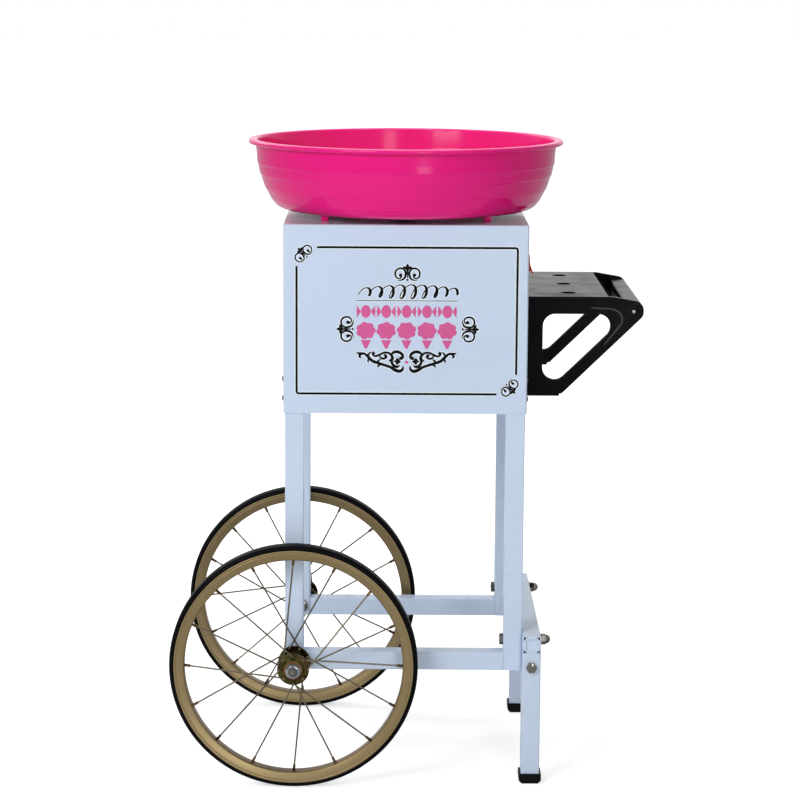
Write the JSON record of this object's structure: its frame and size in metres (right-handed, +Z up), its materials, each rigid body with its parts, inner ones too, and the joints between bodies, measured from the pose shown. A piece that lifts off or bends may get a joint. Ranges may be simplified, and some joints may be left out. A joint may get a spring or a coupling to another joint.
{
  "type": "cotton candy cart",
  "caption": "Electric floss machine on a tube stand: pink bowl and spinner head over a sheet metal cabinet, spoked wheels at one end, feet and a shelf with a handle at the other.",
  "frame": {"origin": "on the floor, under the axis of the bowl and the cabinet's centre", "axes": "+Z up, +X from the wheels towards the shelf and handle, -Y to the decorated front"},
  "size_m": [0.6313, 0.4436, 0.86],
  "materials": {
    "stand_paint": "semi-gloss",
    "cabinet_paint": "gloss",
    "tyre_rubber": "satin",
    "rim_paint": "satin",
    "spoke_steel": "satin",
    "nipple_brass": "satin",
    "hub_plating": "yellow zinc",
    "bush_plastic": "matte",
    "bolt_nickel": "polished",
    "cap_plastic": "matte",
    "shelf_plastic": "semi-gloss",
    "switch_black": "satin",
    "switch_red": "gloss",
    "gland_plastic": "matte",
    "terminal_plastic": "matte",
    "zinc_steel": "satin",
    "motor_paint": "satin",
    "bearing_bronze": "satin",
    "collar_black": "satin",
    "spun_aluminium": "spun",
    "element_steel": "oxidised",
    "holder_ceramic": "matte",
    "bowl_plastic": "gloss"
  },
  "bodies": {
    "cart": {"left_front_leg": "stand_paint", "left_rear_leg": "stand_paint", "right_front_leg": "stand_paint", "right_rear_leg": "stand_paint", "stretchers": "stand_paint", "foot_crossbar": "stand_paint", "crossbar_end_plugs": "stand_paint", "crossbar_washers": "bolt_nickel", "crossbar_acorn_nuts": "bolt_nickel", "foot_legs": "stand_paint", "foot_leg_nuts": "bolt_nickel", "foot_caps": "cap_plastic", "stand_bolts": "bolt_nickel", "axle_bolts": "bolt_nickel", "axle_spacers": "zinc_steel", "axle_washers": "bolt_nickel", "axle_nuts": "bolt_nickel", "cabinet_shell": "cabinet_paint", "cabinet_top": "cabinet_paint", "cabinet_back_panel": "cabinet_paint", "cabinet_floor": "cabinet_paint", "cabinet_screws": "bolt_nickel", "cord_gland": "gland_plastic", "terminal_block": "terminal_plastic", "switch_housing": "switch_black", "shelf_deck": "shelf_plastic", "front_shelf_bracket": "shelf_plastic", "rear_shelf_bracket": "shelf_plastic", "handle_grip": "shelf_plastic", "handle_screws": "bolt_nickel", "bracket_screws": "bolt_nickel", "shelf_deck_screws": "bolt_nickel", "motor_plate": "zinc_steel", "motor_standoffs": "zinc_steel", "motor_mount_screws": "bolt_nickel", "motor_housing": "motor_paint", "motor_bearings": "bearing_bronze", "motor_collar": "collar_black", "heater_dish": "spun_aluminium", "heating_element": "element_steel", "element_holders": "holder_ceramic"},
    "rocker": {"switch_rocker": "switch_red"},
    "spinner": {"motor_rotor": "zinc_steel", "motor_shaft": "zinc_steel", "spinner_base": "spun_aluminium", "spinner_cap": "spun_aluminium", "spinner_nut": "bolt_nickel"},
    "bowl": {"bowl": "bowl_plastic"},
    "front_wheel": {"front_wheel_tyre": "tyre_rubber", "front_wheel_rim": "rim_paint", "front_wheel_spokes": "spoke_steel", "front_wheel_nipples": "nipple_brass", "front_wheel_hub": "hub_plating", "front_wheel_hub_bushes": "bush_plastic"},
    "rear_wheel": {"rear_wheel_tyre": "tyre_rubber", "rear_wheel_rim": "rim_paint", "rear_wheel_spokes": "spoke_steel", "rear_wheel_nipples": "nipple_brass", "rear_wheel_hub": "hub_plating", "rear_wheel_hub_bushes": "bush_plastic"}
  },
  "joints": [
    {"name": "front_wheel_spin", "type": "hinge", "parent": "cart", "child": "front_wheel", "pos_m": [-0.1475, -0.186, 0.1668], "axis": [0, 1, 0], "continuous": true},
    {"name": "rear_wheel_spin", "type": "hinge", "parent": "cart", "child": "rear_wheel", "pos_m": [-0.1475, 0.186, 0.1668], "axis": [0, 1, 0], "continuous": true},
    {"name": "spinner_spin", "type": "hinge", "parent": "cart", "child": "spinner", "pos_m": [0, 0, 0.79], "axis": [0, 0, 1], "continuous": true},
    {"name": "bowl_lift", "type": "slide", "parent": "cart", "child": "bowl", "axis": [0, 0, 1], "range_m": [0, 0.3]},
    {"name": "rocker_tilt", "type": "hinge", "parent": "cart", "child": "rocker", "pos_m": [0.1612, -0.08, 0.697], "axis": [0, 1, 0], "range_deg": [0, 24]}
  ]
}
